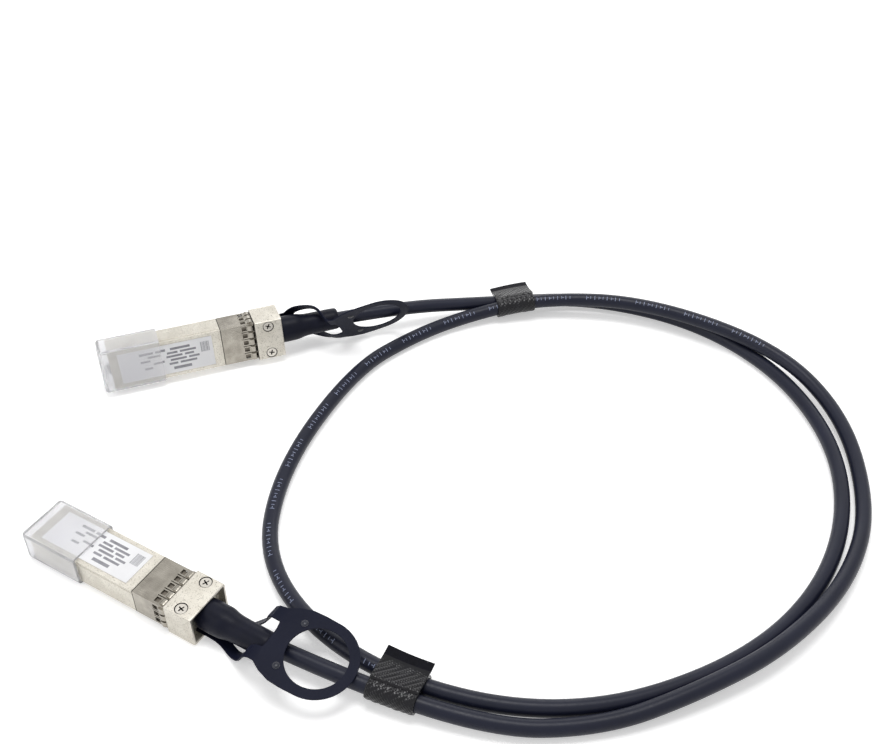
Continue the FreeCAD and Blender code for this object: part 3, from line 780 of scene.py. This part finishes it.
# Where each tie sits on the bundle, and how far its free end stands out.
TIE_SPOTS = {"tie_1": (87.7, 89.6, 3.8), "tie_2": (54.5, -68.4, 1.5)}
TIE_WIDTH = 13.0
TIE_THICKNESS = 0.58
TIE_INNER = CABLE_DIAMETER / 2 + 0.16
STRAND_REACH = 14
WEAVE_PITCH = 0.93
WEAVE_HEIGHT = 0.2
EDGE_SINK = 0.12
TIE_ROWS = 96
TIE_COLUMNS = 216
FLAP_COLUMNS = 60
FLAP_BEND = 0.45
FLAP_ROUNDING = 0.04
FLAP_GAP = 0.02
SMOOTH_FROM = 0.72
SMOOTH_WEAVE = 0.15


def tie_direction(spot):
    nearest = min(range(1, len(lead_points) - 1), key=lambda i: (lead_points[i].xy - spot.xy).length)
    along = lead_points[nearest + 1] - lead_points[nearest - 1]
    if along.x < 0:
        along.negate()
    return Vector((along.x, along.y, 0)).normalized()


def strand_pair(spot, along):
    """Where the bundle's nearer and farther strand pass through a plane across it."""
    found = []
    for start, end in zip(lead_points, lead_points[1:]):
        before = (start - spot).dot(along)
        after = (end - spot).dot(along)
        if before * after <= 0 and before != after and (start.xy - spot.xy).length < STRAND_REACH * MM:
            found.append(start.lerp(end, before / (before - after)))
    across = Vector((-along.y, along.x, 0))
    found.sort(key=lambda p: p.dot(across))
    return found[0], found[-1]


def oval_outline(near, far, along, radius, count):
    """Points and outward directions round two strands, evenly spaced, from under the near one."""
    line = far - near
    line = (line - along * line.dot(along)).normalized()
    upward = along.cross(line)
    reach = (far - near).length
    half_turn = math.pi * radius
    whole = 2 * (reach + half_turn)
    outline = []
    for k in range(count):
        run = whole * k / count
        if run < half_turn:
            angle = run / radius
            out = -upward * math.cos(angle) - line * math.sin(angle)
            outline.append((near + out * radius, out, run))
        elif run < half_turn + reach:
            outline.append((near + upward * radius + line * (run - half_turn), upward, run))
        elif run < 2 * half_turn + reach:
            angle = (run - half_turn - reach) / radius
            out = upward * math.cos(angle) + line * math.sin(angle)
            outline.append((far + out * radius, out, run))
        else:
            back = run - 2 * half_turn - reach
            outline.append((far - upward * radius - line * back, -upward, run))
    return outline, line, upward


def weave_height(run, across):
    """The height of crossed yarns: small pillows on a diagonal net, uneven from yarn to yarn."""
    u = (run + across) / WEAVE_PITCH / MM
    v = (run - across) / (2 * WEAVE_PITCH) / MM
    pillow = abs(math.sin(math.pi * u)) * abs(math.sin(math.pi * v))
    uneven = 0.75 + 0.25 * math.sin(12.9 * math.floor(u) + 78.2 * math.floor(v))
    return WEAVE_HEIGHT * MM * pillow * uneven


def flap_rise(share):
    """How far the free end lifts past the far strand: it bends up, then runs straight, to 1 mm."""
    past = max(0.0, share - FLAP_BEND) / (1 - FLAP_BEND)
    return (1.5 * past * past - 0.5 * past ** 3) * MM


def skin_between(bm, rows, closed):
    for low, high in zip(rows, rows[1:]):
        count = len(low)
        for k in range(count if closed else count - 1):
            n = (k + 1) % count
            bm.faces.new((low[k], low[n], high[n], high[k]))


def woven_finish():
    made, tree, shader = material("woven_strap")
    broad = fine_noise(tree, 350)
    tint = ramp(tree, broad.outputs["Fac"], srgb(6, 6, 10), srgb(15, 15, 22))
    tree.links.new(tint.outputs["Color"], shader.inputs["Base Color"])
    yarn = fine_noise(tree, 5200, detail=3.0)
    rough = ramp(tree, yarn.outputs["Fac"], (0.06,) * 3, (0.15,) * 3)
    tree.links.new(rough.outputs["Color"], shader.inputs["Roughness"])
    shader.inputs["Specular IOR Level"].default_value = 0.3
    bump(tree, shader, yarn.outputs["Fac"], 0.008)
    return made


woven = woven_finish()
strap_end = finish_material(
    "strap_end", srgb(8, 8, 14), srgb(16, 16, 24), (0.42, 0.6), 2600, 0.03, blotch=500, gleam=0.06,
)
for tie, (tie_x, tie_y, tie_flap) in TIE_SPOTS.items():
    spot = Vector((tie_x, tie_y, 0)) * MM
    along = tie_direction(spot)
    near, far = strand_pair(spot, along)
    flap_line, flap_up = oval_outline(near, far, along, TIE_INNER * MM, 4)[1:]
    tie_bm = bmesh.new()
    outer_rows = []
    inner_rows = []
    flap_rows = []
    smooth_end = set()
    for row in range(TIE_ROWS + 1):
        across = (row / TIE_ROWS - 0.5) * TIE_WIDTH * MM
        near, far = strand_pair(spot + along * across, along)
        fade = min(1.0, row / 2, (TIE_ROWS - row) / 2)
        radius = (TIE_INNER + TIE_THICKNESS) * MM
        sink = (1 - fade) * EDGE_SINK * MM
        outer = []
        for p, out, run in oval_outline(near, far, along, radius, TIE_COLUMNS)[0]:
            outer.append(tie_bm.verts.new(p + out * (weave_height(run, across) - sink)))
        outer_rows.append(outer)
        inner = oval_outline(near, far, along, TIE_INNER * MM, TIE_COLUMNS)[0]
        inner_rows.append([tie_bm.verts.new(p) for p, out, run in inner])
        start = near + flap_up * radius
        reach = (far - near).length + (TIE_INNER + TIE_THICKNESS + tie_flap) * MM
        flap = []
        for k in range(FLAP_COLUMNS + 1):
            share = k / FLAP_COLUMNS
            end_gap = 1 + FLAP_ROUNDING / 2 - share
            thick = TIE_THICKNESS * MM * min(1.0, share / FLAP_ROUNDING, end_gap / FLAP_ROUNDING)
            woven_part = min(1.0, max(SMOOTH_WEAVE, (SMOOTH_FROM - share) * 8)) * fade
            lift = thick + weave_height(share * reach, across) * woven_part + flap_rise(share)
            flap.append(tie_bm.verts.new(start + flap_line * reach * share + flap_up * lift))
        for k in range(FLAP_COLUMNS, -1, -1):
            share = k / FLAP_COLUMNS
            under = flap_rise(share) - FLAP_GAP * MM
            flap.append(tie_bm.verts.new(start + flap_line * reach * share + flap_up * under))
        smooth_first = math.ceil(SMOOTH_FROM * FLAP_COLUMNS)
        smooth_end.update(flap[smooth_first:-smooth_first])
        flap_rows.append(flap)
    skin_between(tie_bm, outer_rows, True)
    skin_between(tie_bm, inner_rows, True)
    skin_between(tie_bm, flap_rows, True)
    for end in (0, -1):
        skin_between(tie_bm, [outer_rows[end], inner_rows[end]], True)
        last = flap_rows[end]
        for k in range(FLAP_COLUMNS):
            tie_bm.faces.new((last[k], last[k + 1], last[-2 - k], last[-1 - k]))
    bmesh.ops.recalc_face_normals(tie_bm, faces=tie_bm.faces)
    for face in tie_bm.faces:
        face.smooth = True
        if smooth_end.issuperset(face.verts):
            face.material_index = 1
    tie_mesh = bpy.data.meshes.new(tie + "_strap")
    tie_bm.to_mesh(tie_mesh)
    tie_bm.free()
    tie_mesh.materials.append(woven)
    tie_mesh.materials.append(strap_end)
    strap = bpy.data.objects.new(tie + "_strap", tie_mesh)
    bpy.context.collection.objects.link(strap)
    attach(strap, "assembly")
    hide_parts(tie)
